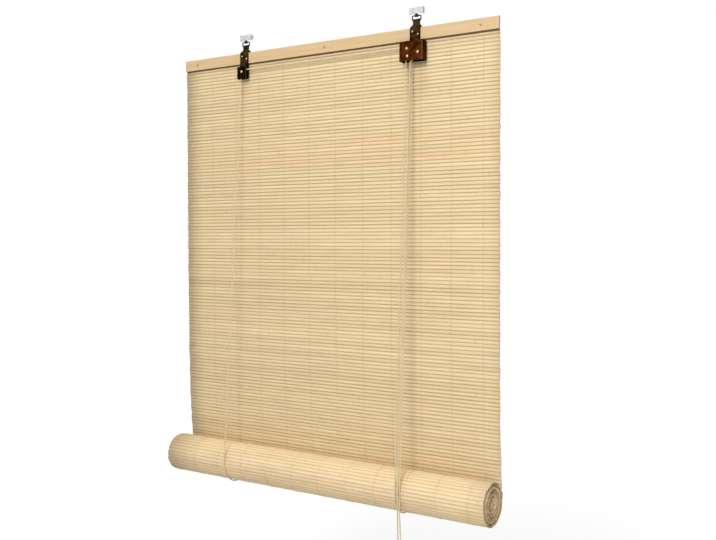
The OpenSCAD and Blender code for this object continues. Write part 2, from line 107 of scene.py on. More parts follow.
def set_camera():
    flat = math.cos(CAMERA_PITCH)
    ahead = Vector((-math.sin(CAMERA_YAW) * flat, math.cos(CAMERA_YAW) * flat, math.sin(CAMERA_PITCH)))
    level = Vector((math.cos(CAMERA_YAW), math.sin(CAMERA_YAW), 0))
    across = math.cos(CAMERA_ROLL) * level + math.sin(CAMERA_ROLL) * level.cross(ahead)
    upward = across.cross(ahead)
    data = bpy.data.cameras.new("camera")
    data.sensor_width = SENSOR_W
    data.lens = FOCAL_PX / PICTURE_W_PX * data.sensor_width
    data.shift_y = (AXIS_ROW_PX - MIDDLE_ROW_PX) / PICTURE_W_PX
    data.clip_end = VIEW_END
    camera = bpy.data.objects.new("camera", data)
    turn = Matrix((across, upward, -ahead)).transposed().to_4x4()
    camera.matrix_world = Matrix.Translation(Vector(CAMERA_PLACE)) @ turn
    bpy.context.collection.objects.link(camera)
    bpy.context.scene.camera = camera


set_camera()


# Materials

class Nodes:
    """A node tree that is built one node at a time."""

    def __init__(self, tree):
        self.tree = tree

    def add(self, kind, settings=None, **values):
        """New node; the values go to the inputs of those names, with underscores read as spaces."""
        node = self.tree.nodes.new(kind)
        for key, value in (settings or {}).items():
            setattr(node, key, value)
        for key, value in values.items():
            self.put(node.inputs[key.replace("_", " ")], value)
        return node

    def put(self, socket, value):
        if isinstance(value, bpy.types.NodeSocket):
            self.tree.links.new(value, socket)
        else:
            socket.default_value = value

    def math(self, what, a, b=0.0):
        node = self.add("ShaderNodeMath", {"operation": what})
        self.put(node.inputs[0], a)
        self.put(node.inputs[1], b)
        return node.outputs[0]

    def span(self, value, between, to=(0.0, 1.0)):
        """The value's way between two numbers, as a number between two others."""
        node = self.add("ShaderNodeMapRange", Value=value, From_Min=between[0], From_Max=between[1],
                        To_Min=to[0], To_Max=to[1])
        return node.outputs["Result"]

    def here(self):
        """Place on the object, in metres."""
        return self.add("ShaderNodeTexCoord").outputs["Object"]


class Shader(Nodes):
    """A material with one surface shader. Colours are red, green and blue."""

    # Numbers of a colour mix's sockets, and where a grey ramp begins and ends
    MIX_FACTOR, MIX_FIRST, MIX_SECOND, MIX_RESULT = 0, 6, 7, 2
    GREY_STOPS = (0.25, 0.75)

    def __init__(self, name):
        self.material = bpy.data.materials.new(name)
        self.material.use_nodes = True
        super().__init__(self.material.node_tree)
        self.surface = self.tree.nodes["Principled BSDF"]

    def noise(self, scale, stretch=(1, 1, 1), detail=3.0, rough=0.55, shift=(0, 0, 0)):
        where = self.add("ShaderNodeMapping", Vector=self.here(), Scale=stretch, Location=shift)
        node = self.add("ShaderNodeTexNoise", Vector=where.outputs["Vector"], Scale=scale, Detail=detail,
                        Roughness=rough)
        return node.outputs["Fac"]

    def ramp(self, factor, stops):
        node = self.add("ShaderNodeValToRGB", Fac=factor)
        band = node.color_ramp
        halfway = 0.5
        while len(band.elements) < len(stops):
            band.elements.new(halfway)
        for element, (at, colour) in zip(band.elements, stops):
            element.position = at
            element.color = (*colour, 1)
        return node.outputs["Color"]

    def grey(self, factor, low, high):
        return self.ramp(factor, [(at, (level,) * 3) for at, level in zip(self.GREY_STOPS, (low, high))])

    def mix(self, factor, first, second, how="MIX"):
        node = self.add("ShaderNodeMix", {"data_type": "RGBA", "blend_type": how})
        self.put(node.inputs[self.MIX_FACTOR], factor)
        for at, colour in ((self.MIX_FIRST, first), (self.MIX_SECOND, second)):
            linked = isinstance(colour, bpy.types.NodeSocket)
            self.put(node.inputs[at], colour if linked else (*colour, 1))
        return node.outputs[self.MIX_RESULT]

    def tinted(self, base, by):
        return self.mix(1.0, base, by, "MULTIPLY")

    def axes(self, vector):
        return self.add("ShaderNodeSeparateXYZ", Vector=vector).outputs

    def facing(self):
        """Parts along X, Y and Z of the direction that the surface faces."""
        return self.axes(self.add("ShaderNodeNewGeometry").outputs["Normal"])

    def on_end(self, facing):
        """One on faces that look along X, as the cut ends of slats and rails do."""
        return self.span(self.math("ABSOLUTE", facing[0]), between=(0.75, 0.95))

    def bump(self, height, strength, distance):
        node = self.add("ShaderNodeBump", Height=height, Strength=strength, Distance=distance)
        self.put(self.surface.inputs["Normal"], node.outputs["Normal"])

    def finish(self, colour, rough, **values):
        self.put(self.surface.inputs["Base Color"], colour)
        self.put(self.surface.inputs["Roughness"], rough)
        for key, value in values.items():
            self.put(self.surface.inputs[key.replace("_", " ")], value)
        return self.material


# Range in which most of a noise's values lie
NOISE_RANGE = (0.3, 0.7)

# Colours of the bamboo beside its own three shades
WARM_SLAT = (0.82, 0.56, 0.3)
ROSY_HUE = (1.015, 0.975, 0.96)
PLAIN_HUE = (1.0, 1.0, 1.0)
GREEN_HUE = (0.99, 1.01, 0.95)
JOINT_BROWN = (0.4, 0.24, 0.1)
FLECK_BROWN = (0.47, 0.3, 0.14)
DARK_CUT = (0.02, 0.009, 0.002)
END_GRAIN = (0.27, 0.155, 0.06)
PALE_CUT = (1.0, 0.76, 0.45)
GROOVE_SHADE = (0.36, 0.3, 0.24)
RAIL_SHADE = (0.13, 0.058, 0.004)

# How far a slat's grain is shifted by its phase and its shade
PHASE_SHIFT = 7.0
SHADE_SHIFT = 5.0
# Joints of the cane: how many in a metre, their shift by the phase, and half a joint as a share of their step
JOINTS_PER_METRE = 2.7
JOINT_SHIFT = 9.0
JOINT_SHARE = 0.011


def bamboo_joints(look, base, phase):
    """Darker rings where the cane had its joints, and short flecks."""
    along = look.axes(look.here())[0]
    along = look.math("ADD", look.math("MULTIPLY", along, JOINTS_PER_METRE),
                      look.math("MULTIPLY", phase, JOINT_SHIFT))
    joint = look.math("ABSOLUTE", look.math("SUBTRACT", look.math("FRACT", along), 0.5))
    base = look.mix(look.span(joint, between=(0.0, JOINT_SHARE), to=(0.13, 0.0)), base, JOINT_BROWN)
    fleck = look.noise(scale=900.0, stretch=(0.08, 1.0, 1.0), detail=2.0, rough=0.5)
    return look.mix(look.span(fleck, between=(0.66, 0.78), to=(0.0, 0.3)), base, FLECK_BROWN)


def bamboo_ends(look, base, warmth):
    """Cut ends, from dark to pale with the slat's warmth; on the roll this is the ends' own tone with painted
    light and painted shade of the turns.
    """
    pores = look.grey(look.noise(scale=1500.0, detail=2.0), low=0.55, high=1.3)
    cut = look.ramp(warmth, [(0.0, DARK_CUT), (0.42, END_GRAIN), (0.72, PALE_CUT)])
    return look.mix(look.on_end(look.facing()), base, look.tinted(cut, pores))


def bamboo_edges(look, base, nearness, groove):
    """Shade in the grooves between slats, and deeper shade under the rail."""
    edge = look.span(nearness, between=(0.35, 1.0), to=(0.0, groove))
    base = look.mix(edge, base, look.tinted(base, GROOVE_SHADE))
    return look.mix(look.span(nearness, between=(1.0, 2.0), to=(0.0, 0.8)), base, RAIL_SHADE)


def bamboo_material(name, pale, straw, tan, groove, gloss):
    """Slats; their tint layer holds shade, warmth (on the roll, the cut ends' paleness with painted light and
    painted shade), phase of the grain and nearness to the slat's edge.
    """
    look = Shader(name)
    tint = look.add("ShaderNodeAttribute", {"attribute_name": "tint"})
    shade, warmth, phase = look.add("ShaderNodeSeparateColor", Color=tint.outputs["Color"]).outputs
    shift = look.add("ShaderNodeCombineXYZ", X=look.math("MULTIPLY", phase, PHASE_SHIFT),
                     Y=look.math("MULTIPLY", shade, SHADE_SHIFT)).outputs[0]
    base = look.ramp(shade, [(0.0, tan), (0.35, straw), (0.75, pale), (1.0, pale)])
    base = look.mix(look.span(warmth, between=(0.85, 1.0), to=(0.0, 0.35)), base, WARM_SLAT)
    fibre = look.noise(scale=60.0, stretch=(0.25, 9.0, 9.0), detail=5.0, rough=0.62, shift=shift)
    base = look.tinted(base, look.grey(fibre, low=0.84, high=1.08))
    cloud = look.noise(scale=5.0, stretch=(1.0, 2.5, 6.0), detail=2.0, rough=0.5, shift=shift)
    base = look.tinted(base, look.grey(cloud, low=0.93, high=1.05))
    hue = look.noise(scale=7.0, stretch=(1.0, 2.5, 9.0), detail=2.0, rough=0.5, shift=shift)
    base = look.tinted(base, look.ramp(hue, [(0.3, ROSY_HUE), (0.5, PLAIN_HUE), (0.7, GREEN_HUE)]))
    base = bamboo_joints(look, base, phase)
    base = bamboo_ends(look, base, warmth)
    base = bamboo_edges(look, base, tint.outputs["Alpha"], groove)
    look.bump(fibre, strength=0.35, distance=0.0004)
    return look.finish(base, look.span(fibre, NOISE_RANGE, to=(0.66, 0.54)), Specular_IOR_Level=gloss)


UNDERSIDE_SHADE = (0.12, 0.068, 0.02)


def wood_material(name, light, dark, end_low, end_high):
    """Lacquered wood with rings on its ends and painted shade on its underside; low end_low and end_high
    darken the ends into painted shade.
    """
    look = Shader(name)
    grain = look.noise(scale=34.0, stretch=(0.22, 6.0, 6.0), detail=6.0, rough=0.6)
    fine = look.noise(scale=240.0, stretch=(0.08, 3.0, 3.0), detail=3.0, rough=0.6)
    base = look.ramp(grain, [(0.3, dark), (0.62, light)])
    base = look.tinted(base, look.grey(fine, low=0.93, high=1.04))
    facing = look.facing()
    # Rings on the cut ends; where they are set dark, they are painted shade on the end faces
    rings = look.grey(look.noise(scale=420.0, stretch=(1, 1, 0.25), detail=2.0), low=end_low, high=end_high)
    base = look.mix(look.on_end(facing), base, look.tinted(base, rings))
    under = look.span(facing[2], between=(-0.5, -0.9))
    base = look.mix(under, base, look.tinted(base, UNDERSIDE_SHADE))
    look.bump(fine, strength=0.25, distance=0.0003)
    return look.finish(base, rough=0.5, Specular_IOR_Level=0.4, Coat_Weight=0.12, Coat_Roughness=0.35)


# Near black for the white plates below a height, and the height over which it blends in: painted shade along
# their lower edge
PLATE_EDGE_SHADE = (0.03, 0.03, 0.03)
PLATE_EDGE_SHADE_BLEND = 0.0006
PAINT_GLINT = (0.4, 0.25, 0.15, 1)


def paint_material(name, colour, patch, worn_and_highlight, rough, scratches, metal, painted_shade_below=None):
    """Finish with darker patches, fine scratches, rubbed specks with a painted highlight at the bends, and
    painted shade below a height.
    """
    look = Shader(name)
    cloud = look.noise(scale=160.0, detail=4.0)
    blotch = look.noise(scale=75.0, detail=3.0, rough=0.6)
    scratch = look.noise(scale=900.0, stretch=(1.0, 1.0, 0.12), detail=3.0, rough=0.7)
    base = look.mix(look.span(blotch, between=(0.42, 0.6)), colour, patch)
    base = look.tinted(base, look.grey(cloud, low=0.75, high=1.3))
    base = look.mix(look.span(scratch, between=(0.66, 0.8), to=(0.0, scratches)), base, worn_and_highlight)
    # Rounded bends, facing half along X and half along Y, take the rubbed colour in specks: partly rubbed
    # paint, partly a painted highlight along the folds
    facing = look.facing()
    bent = look.math("ABSOLUTE", look.math("MULTIPLY", facing[0], facing[1]))
    specks = look.span(look.noise(scale=700.0, detail=2.0), between=(0.42, 0.6))
    bend_wear_and_highlight = look.math("MULTIPLY", look.span(bent, between=(0.2, 0.45), to=(0.0, 0.8)), specks)
    base = look.mix(bend_wear_and_highlight, base, worn_and_highlight)
    # Below the given height the colour turns near black: painted shade along the plate's lower edge
    if painted_shade_below is not None:
        height = look.axes(look.here())[2]
        base = look.mix(look.span(height, between=(painted_shade_below, painted_shade_below - PLATE_EDGE_SHADE_BLEND)), base, PLATE_EDGE_SHADE)
    look.bump(cloud, strength=0.12, distance=0.0002)
    return look.finish(base, look.span(cloud, NOISE_RANGE, to=rough), Metallic=metal,
                       Specular_IOR_Level=0.2, Specular_Tint=PAINT_GLINT)


def metal_material(name, colour, dark, rough):
    look = Shader(name)
    brushed = look.noise(scale=1400.0, stretch=(1.0, 1.0, 0.2), detail=2.0)
    stain = look.noise(scale=300.0, detail=3.0)
    base = look.mix(look.span(stain, between=(0.45, 0.75), to=(0.0, 0.6)), colour, dark)
    return look.finish(base, look.span(brushed, NOISE_RANGE, to=rough), Metallic=1.0)


def cord_material(name, light, dark):
    look = Shader(name)
    fuzz = look.noise(scale=3200.0, detail=3.0)
    cloud = look.noise(scale=40.0, detail=2.0)
    base = look.mix(look.span(fuzz, between=(0.35, 0.65)), dark, light)
    base = look.tinted(base, look.grey(cloud, low=0.92, high=1.04))
    look.bump(fuzz, strength=0.4, distance=0.0002)
    return look.finish(base, rough=0.85, Specular_IOR_Level=0.2, Sheen_Weight=0.2)


def plastic_material(name, light, dark, rough):
    look = Shader(name)
    cloud = look.noise(scale=260.0, detail=3.0)
    base = look.mix(look.span(cloud, between=(0.35, 0.7)), dark, light)
    return look.finish(base, look.span(cloud, NOISE_RANGE, to=rough), Specular_IOR_Level=0.45)


BAMBOO = bamboo_material("bamboo", pale=(0.84, 0.665, 0.4), straw=(0.79, 0.61, 0.355),
                         tan=(0.69, 0.51, 0.28), groove=0.57, gloss=0.3)
ROLLED_BAMBOO = bamboo_material("rolled_bamboo", pale=(0.875, 0.685, 0.427), straw=(0.845, 0.647, 0.39),
                                tan=(0.785, 0.58, 0.332), groove=0.38, gloss=0.12)
# The battens' cut ends are darkened to a fifth to two fifths of the wood's colour: painted shade on the end
# faces
PALE_WOOD = wood_material("pale_wood", light=(0.66, 0.475, 0.26), dark=(0.59, 0.41, 0.215),
                          end_low=0.2, end_high=0.4)
BAR_WOOD = wood_material("bar_wood", light=(0.72, 0.525, 0.29), dark=(0.65, 0.455, 0.24),
                         end_low=0.6, end_high=1.1)
DARK_PAINT = paint_material("dark_paint", colour=(0.012, 0.0065, 0.0007), patch=(0.004, 0.002, 0.0003),
                            worn_and_highlight=(0.1, 0.075, 0.05), rough=(0.38, 0.52), scratches=0.25, metal=0.8)
STRAP_PAINT = paint_material("strap_paint", colour=(0.056, 0.03, 0.011), patch=(0.009, 0.004, 0.0008),
                             worn_and_highlight=(0.26, 0.18, 0.12), rough=(0.36, 0.5), scratches=0.4, metal=0.8)
BROWN_PAINT = paint_material("brown_paint", colour=(0.09, 0.0225, 0.002), patch=(0.026, 0.007, 0.0007),
                             worn_and_highlight=(0.26, 0.16, 0.095), rough=(0.38, 0.52), scratches=0.25, metal=0.8)
# The white plates are painted near black below -12.2 mm: painted shade along their lower edge
WHITE_PAINT = paint_material("white_paint", colour=(0.6, 0.6, 0.6), patch=(0.55, 0.55, 0.55),
                             worn_and_highlight=(0.42, 0.42, 0.43), rough=(0.35, 0.49), scratches=0.15, metal=0.0,
                             painted_shade_below=-0.0122)
NAIL_STEEL = metal_material("nail_steel", colour=(0.44, 0.36, 0.27), dark=(0.14, 0.11, 0.08),
                            rough=(0.38, 0.54))
RAIL_NAIL_STEEL = metal_material("rail_nail_steel", colour=(0.3, 0.24, 0.17), dark=(0.12, 0.09, 0.06),
                                 rough=(0.3, 0.46))
RING_STEEL = paint_material("ring_steel", colour=(0.018, 0.018, 0.018), patch=(0.01, 0.01, 0.01),
                            worn_and_highlight=(0.08, 0.078, 0.075), rough=(0.4, 0.54), scratches=0.2, metal=0.8)
PAWL_STEEL = metal_material("pawl_steel", colour=(0.5, 0.49, 0.47), dark=(0.22, 0.2, 0.18),
                            rough=(0.35, 0.51))
PULLEY_PLASTIC = plastic_material("pulley_plastic", light=(0.09, 0.045, 0.02), dark=(0.072, 0.036, 0.016),
                                  rough=(0.4, 0.52))
CORD_CLOTH = cord_material("cord_cloth", light=(0.83, 0.685, 0.435), dark=(0.54, 0.42, 0.235))
THREAD_CLOTH = cord_material("thread_cloth", light=(0.58, 0.46, 0.27), dark=(0.47, 0.37, 0.215))
ROLL_THREAD_CLOTH = cord_material("roll_thread_cloth", light=(0.68, 0.55, 0.335), dark=(0.58, 0.46, 0.275))

NODE_MATERIALS = {
    PALE_WOOD: ["front_batten", "rear_batten"],
    BAR_WOOD: ["bottom_bar"],
    WHITE_PAINT: ["left_mounting_plate", "right_mounting_plate"],
    RING_STEEL: ["left_ring", "right_ring"],
    DARK_PAINT: ["left_pulley_cover"],
    STRAP_PAINT: ["left_strap", "right_strap"],
    BROWN_PAINT: ["lock_cover"],
    RAIL_NAIL_STEEL: ["batten_nails"],
    NAIL_STEEL: ["left_strap_nails", "right_strap_nails", "left_pulley_pin", "lock_pulley_pin",
                 "lock_guide_pin", "lock_pawl_pin"],
    PULLEY_PLASTIC: ["left_pulley", "lock_pulley"],
    PAWL_STEEL: ["lock_pawl"],
}
for material, names in NODE_MATERIALS.items():
    for name in names:
        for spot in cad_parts[name].material_slots:
            spot.material = material


# Meshes

# Outline of a slat in shares of half its thickness and half its height, and each point's nearness to the edge
UPPER_SHARES = [(-1.04, 0.0), (-1.0, 0.46), (-0.82, 0.76), (-0.4, 0.95), (0.0, 1.0), (0.4, 0.95),
                (0.82, 0.76), (1.0, 0.46)]
SECTION = UPPER_SHARES + [(-deep, -high) for deep, high in UPPER_SHARES]
SLAT_EDGE = [abs(high) for _, high in SECTION]
# The first slat is dark along its upper edge, where the rail keeps the light off
SHADED_FROM = 0.4
SHADED = 2.0
SHADED_EDGE = [SHADED if high > SHADED_FROM else abs(high) for _, high in SECTION]


class Builder:
    """Points, faces and slat tints of one piece, in millimetres."""

    def __init__(self):
        self.points = []
        self.faces = []
        self.flat = []
        self.tints = []

    def loft(self, rings, tint=None, edges=(), caps=True):
        """Skin over a row of rings; a tint is repeated at every point with the nearness of that point."""
        first = len(self.points)
        sides = len(rings[0])
        for ring in rings:
            self.points += ring
        for i in range(len(rings) - 1):
            low = first + i * sides
            for k in range(sides):
                after = (k + 1) % sides
                self.faces.append((low + k, low + after, low + sides + after, low + sides + k))
                self.flat.append(False)
        if caps:
            last = first + (len(rings) - 1) * sides
            self.faces += [tuple(range(first + sides - 1, first - 1, -1)), tuple(range(last, last + sides))]
            self.flat += [True, True]
        if tint:
            self.tints += [(*tint, edge) for edge in edges] * len(rings)

    def make(self, name, material, body, slot):
        mesh = bpy.data.meshes.new(name)
        mesh.from_pydata([(x * MM, y * MM, z * MM) for x, y, z in self.points], [], self.faces)
        mesh.polygons.foreach_set("use_smooth", [not flat for flat in self.flat])
        if self.tints:
            layer = mesh.color_attributes.new("tint", "FLOAT_COLOR", "POINT")
            layer.data.foreach_set("color", [value for tint in self.tints for value in tint])
        mesh.materials.append(material)
        mesh.update()
        piece = bpy.data.objects.new(name, mesh)
        bpy.context.collection.objects.link(piece)
        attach(piece, body)
        return piece


def squash_to_lift(piece):
    """Gives the piece its own copy of its mesh."""
    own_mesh(piece)


def resample(path, step):
    """Points along a polyline, about one step apart, with its corners kept."""
    out = [Vector(path[0])]
    for a, b in zip(path, path[1:]):
        a, b = Vector(a), Vector(b)
        count = max(1, round((b - a).length / step))
        out += [a.lerp(b, i / count) for i in range(1, count + 1)]
    return out


def tube_rings(path, radius, sides, wave=0.0, lobes=0, twist=0.0):
    """Rings round a path; wave, lobes and twist give the strands of a laid cord."""
    side = None
    gone = 0.0
    rings = []
    for i, here in enumerate(path):
        ahead = (path[min(i + 1, len(path) - 1)] - path[max(i - 1, 0)]).normalized()
        if side is None:
            side = ahead.orthogonal().normalized()
        side = (side - ahead * side.dot(ahead)).normalized()
        up = ahead.cross(side)
        if i:
            gone += (here - path[i - 1]).length
        ring = []
        for k in range(sides):
            angle = 2 * math.pi * k / sides
            reach = radius * (1 - wave + wave * math.cos(lobes * angle - twist * gone))
            ring.append(tuple(here + (side * math.cos(angle) + up * math.sin(angle)) * reach))
        rings.append(ring)
    return rings


# Cords: laid from three strands, with a step along the cord from one strand to the next

CORD_STEP = 1.5
CORD_SIDES = 12
CORD_STRANDS = 3
STRAND_WAVE = 0.14
STRAND_STEP = 6.5
LAY_TURN = 2 * math.pi / STRAND_STEP
# Length of a strand's lowest stretch, in front of the roll
FRONT_END = 33

# Overhand knot drawn tight: its loop's middle radius, swing and height share, and the cord's radius in it
KNOT_R = 1.38
KNOT_SWING = 0.81
KNOT_TALL_SHARE = 2.1
KNOT_CORD_R = 1.13
KNOT_LEAVES = 3
KNOT_TURNS = 2
KNOT_STEPS = 72


def cord_tube(name, path, node, body):
    build = Builder()
    build.loft(tube_rings(path, CORD_R, CORD_SIDES, wave=STRAND_WAVE, lobes=CORD_STRANDS, twist=LAY_TURN))
    cord = build.make(name, CORD_CLOTH, body, "cord")
    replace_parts(cord, node)
    return cord


def make_cord(name, route, node, body, shortens=False):
    path = resample(route, CORD_STEP)
    cord = cord_tube(name, path, node, body)
    if shortens:
        squash_to_lift(cord)


def make_back_cord(side, route, node):
    """The tied end stays in the rear tab; the straight strand below it is a piece of its own."""
    tied = cord_tube(side + "_back_end", resample(route[:-1], CORD_STEP), node, "head")
    make_cord(side + "_back_strand", route[-2:], node, "head", shortens=True)


def make_lifted_cord(name, route, node):
    """The strand hangs from the head; its lowest stretch goes with the roll, in front of it."""
    top, low = Vector(route[0]), Vector(route[1])
    split = low + (top - low).normalized() * FRONT_END
    make_cord(name, [top, split], node, "head", shortens=True)
    make_cord(name + "_end", [split, low], node, "roll")


def make_knot(name, place, node, body):
    """Overhand knot: a three-leaved loop of the cord drawn tight."""
    path = []
    for i in range(KNOT_STEPS + 1):
        turn = 2 * math.pi * i / KNOT_STEPS
        reach = KNOT_R + KNOT_SWING * math.cos(KNOT_LEAVES * turn)
        rise = KNOT_TALL_SHARE * KNOT_SWING * math.sin(KNOT_LEAVES * turn)
        round_it = KNOT_TURNS * turn
        path.append(Vector(place) + Vector((reach * math.cos(round_it), reach * math.sin(round_it), rise)))
    build = Builder()
    build.loft(tube_rings(path, KNOT_CORD_R, CORD_SIDES), caps=False)
    knot = build.make(name, CORD_CLOTH, body, "cord")
    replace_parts(knot, node)
    return knot


def sling_route(x):
    return [(x, y, z) for y, z in SLING]


back_knots = [make_knot("back_knot_" + side, place, "back_knots", "head")
              for side, place in zip(("left", "right"), BACK_KNOTS)]
pull_knots = [make_knot("pull_knot_" + side, place, "pull_knots", "roll")
              for side, place in zip(("right", "left"), PULL_KNOTS)]
make_back_cord("left", LEFT_BACK, "left_back_cord")
make_back_cord("right", RIGHT_BACK, "right_back_cord")
make_cord("left_sling", sling_route(LEFT_CORD_X), "left_sling_cord", "roll")
make_cord("right_sling", sling_route(RIGHT_CORD_X), "right_sling_cord", "roll")
make_lifted_cord("left_front_strand", LEFT_FRONT, "left_front_cord")
make_lifted_cord("right_front_strand", RIGHT_FRONT, "right_front_cord")
make_cord("cross_strand", CROSS, "cross_cord", "head")
make_cord("lock_strand", LOCK, "lock_cord", "head")
for side, pull, tail, knot in zip(("right", "left"), PULLS, TAILS, pull_knots):
    make_lifted_cord("pull_strand_" + side, pull, "pull_cords")
    make_cord("pull_tail_" + side, tail, "pull_tails", "roll")


# Slats: each has its own shade, ends and bow

SEED = 20417
rng = random.Random(SEED)

SHADE_MIDDLE = 0.62
SHADE_SPREAD = 0.12
GROOVE_MOST = 1.04
GROOVE_SPREAD = 0.3
END_SPREAD = 0.8

# The bow is a wave along the slat; its length and its two starts change slowly from slat to slat
WAVE_LENGTH = 480
WAVE_LENGTH_SWING = 120
WAVE_TURN = 6.28
LENGTH_SLATS = 23
RISE_SLATS = 11
SHIFT_SLATS = 7
SHIFT_START = 2


def slat_tint():
    """Shade, warmth and phase of one slat's grain."""
    shade = min(1.0, max(0.0, rng.gauss(SHADE_MIDDLE, SHADE_SPREAD)))
    return shade, rng.random(), rng.random()


def slat_ends():
    left = -BLIND_W / 2 + rng.uniform(-END_SPREAD, END_SPREAD)
    right = BLIND_W / 2 + rng.uniform(-END_SPREAD, END_SPREAD)
    return left, right


def no_bow(x):
    return 0, 0


def bow_of(slat, rise, shift):
    """Rise and shift along a slat, which change little from one slat to the next."""
    length = WAVE_LENGTH + WAVE_LENGTH_SWING * math.sin(slat / LENGTH_SLATS)
    rise_start = slat / RISE_SLATS
    shift_start = SHIFT_START + slat / SHIFT_SLATS

    def bow(x):
        along = x * WAVE_TURN / length
        return rise * math.sin(along + rise_start), shift * math.sin(along + shift_start)

    return bow


def add_slat(build, ends, stations, half_h, half_t, centre, lie, bow, tint=None, edges=SLAT_EDGE):
    """One slat along X; centre gives its middle in Y and Z, and lie the direction of its height."""
    groove = GROOVE_MOST - GROOVE_SPREAD * rng.random() ** 2
    up_y, up_z = lie
    out_y, out_z = up_z, -up_y
    rings = []
    for i in range(stations + 1):
        x = ends[0] + (ends[1] - ends[0]) * i / stations
        rise, shift = bow(x)
        y = centre[0] + shift
        z = centre[1] + rise
        rings.append([(x, y + half_t * deep * out_y + half_h * high * up_y,
                       z + half_t * deep * out_z + half_h * high * up_z) for deep, high in SECTION])
    build.loft(rings, tint or slat_tint(), [edge * groove for edge in edges])


# Mat: separate slats held by pairs of warp threads

MAT_STATIONS = 16
MAT_OVERLAP = (0.02, 0.1)
MAT_THICK_SHARES = (0.86, 1.0)
MAT_UNEVEN = 0.12
MAT_RISE = 0.18
MAT_SHIFT = 0.15
# The last slat is less tall at its lower edge, where the roll begins
LAST_SLAT_GAP = 0.35
CLAMPED_STATIONS = 4
CLAMPED_INSET = 2
CLAMPED_ROOM = 0.05
UPRIGHT = (0, 1)

# The first slats stay behind the straps, the lowest go with the roll, and those between are a piece of their
# own
HEAD_SLATS = 6
LOW_SLATS = 6
SPLIT_SLAT = HUNG_SLATS - LOW_SLATS

# Warp threads; the weave is a thread's way past one slat, in shares of its reach and of the slat's height
THREAD_PAIRS = 12
THREAD_PAIR_STEP = 68.5
THREAD_PAIR_SHIFT = 24.5
THREAD_SIDE_STEP = 0.55
THREAD_R = 0.32
THREAD_SIDES = 4
THREAD_PROUD = 0.18
WEAVE_SHARES = [(0.0, 0.0), (0.85, 0.16), (1.0, 0.5), (0.85, 0.84)]


def lean_at(z):
    """Distance that the mat lies behind the rail's middle at a height."""
    down = max(0.0, (RAIL_LOW - z) / (RAIL_LOW - ROLL_Z))
    return ROLL_BACK * (STRAIGHT_SHARE * down + (1 - STRAIGHT_SHARE) * down ** BOW_POWER)


def mat_lie(z):
    """Direction of the mat's height at a height, in Y and Z, upwards."""
    step = SLAT_PITCH / 2
    back = lean_at(z + step) - lean_at(z - step)
    size = math.hypot(back, 2 * step)
    return back / size, 2 * step / size


def squash_between(piece):
    squash_to_lift(piece)


def add_clamped_slat(build, middle, half_h):
    end = BLIND_W / 2 - CLAMPED_INSET
    half_t = SLAT_T / 2 - CLAMPED_ROOM
    add_slat(build, (-end, end), CLAMPED_STATIONS, half_h, half_t, (HANG_Y, middle), UPRIGHT, no_bow)


def make_mat():
    top, hung, low, clamped = Builder(), Builder(), Builder(), Builder()
    for i in range(-CLAMPED_SLATS, HUNG_SLATS):
        middle = RAIL_LOW - (i + 0.5) * SLAT_PITCH
        half_h = SLAT_PITCH / 2 + rng.uniform(*MAT_OVERLAP)
        half_t = SLAT_T / 2 * rng.uniform(*MAT_THICK_SHARES)
        if i < 0:
            add_clamped_slat(clamped, middle, half_h)
            continue
        back = HANG_Y + lean_at(middle) + rng.uniform(-MAT_UNEVEN, MAT_UNEVEN)
        gap = LAST_SLAT_GAP if i == HUNG_SLATS - 1 else 0
        edges = SHADED_EDGE if i == 0 else SLAT_EDGE
        build = top if i < HEAD_SLATS else hung if i < SPLIT_SLAT else low
        add_slat(build, slat_ends(), MAT_STATIONS, half_h - gap, half_t, (back, middle + gap),
                 mat_lie(middle), bow_of(i, MAT_RISE, MAT_SHIFT), edges=edges)
    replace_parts(top.make("mat_top_slats", BAMBOO, "head", "bamboo"), "hanging_mat")
    mat = hung.make("mat_slats", BAMBOO, "head", "bamboo")
    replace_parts(mat, "hanging_mat")
    squash_between(mat)
    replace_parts(low.make("mat_low_slats", BAMBOO, "roll", "bamboo"), "hanging_mat")
    clamped.make("clamped_slats", BAMBOO, "head", "bamboo")


def thread_lines():
    """Phase of every warp thread's weave, and its place along X."""
    lines = []
    for i in range(-THREAD_PAIRS // 2, THREAD_PAIRS // 2):
        column = THREAD_PAIR_SHIFT + THREAD_PAIR_STEP * i
        lines += [(0, column - THREAD_SIDE_STEP), (1, column + THREAD_SIDE_STEP)]
    return lines


def make_threads():
    top, hung, low = Builder(), Builder(), Builder()
    head = HEAD_SLATS * len(WEAVE_SHARES)
    split = SPLIT_SLAT * len(WEAVE_SHARES)
    for phase, x in thread_lines():
        path = []
        for i in range(HUNG_SLATS):
            front = -1 if (i + phase) % 2 else 1
            reach = front * (SLAT_T / 2 + THREAD_PROUD)
            for out, down in WEAVE_SHARES:
                z = RAIL_LOW - (i + down) * SLAT_PITCH
                path.append(Vector((x, HANG_Y + lean_at(z) + out * reach, z)))
        rings = tube_rings(path, THREAD_R, THREAD_SIDES)
        top.loft(rings[:head + 1])
        hung.loft(rings[head:split + 1])
        low.loft(rings[split:])
    top.make("mat_top_threads", THREAD_CLOTH, "head", "bamboo")
    squash_between(hung.make("mat_threads", THREAD_CLOTH, "head", "bamboo"))
    low.make("mat_low_threads", THREAD_CLOTH, "roll", "bamboo")


# Roll: the same slats wound on a spiral

ROLL_STATIONS = 8
ROLL_OVERLAP_SHARE = 1.01
ROLL_THICK_SHARES = (0.88, 1.0)
ROLL_BOW = 0.1
# The slats' ends wander along X from slat to slat
DRIFT_KEPT = 0.85
DRIFT_STEP = 0.5
# At the roll's end pale and dark turns follow each other, more or less boldly from slat to slat: the ends'
# own tone together with painted light and painted shade of turns that stand out or sink back
STREAK_MIDDLE = 0.4
STREAK_TURNS = 3
BOLD_START = 0.8
BOLD_MIDDLE = 0.85
BOLD_KEPT = 0.9
BOLD_STEP = 0.15
BOLD_LEAST = 0.6
BOLD_MOST = 1.0
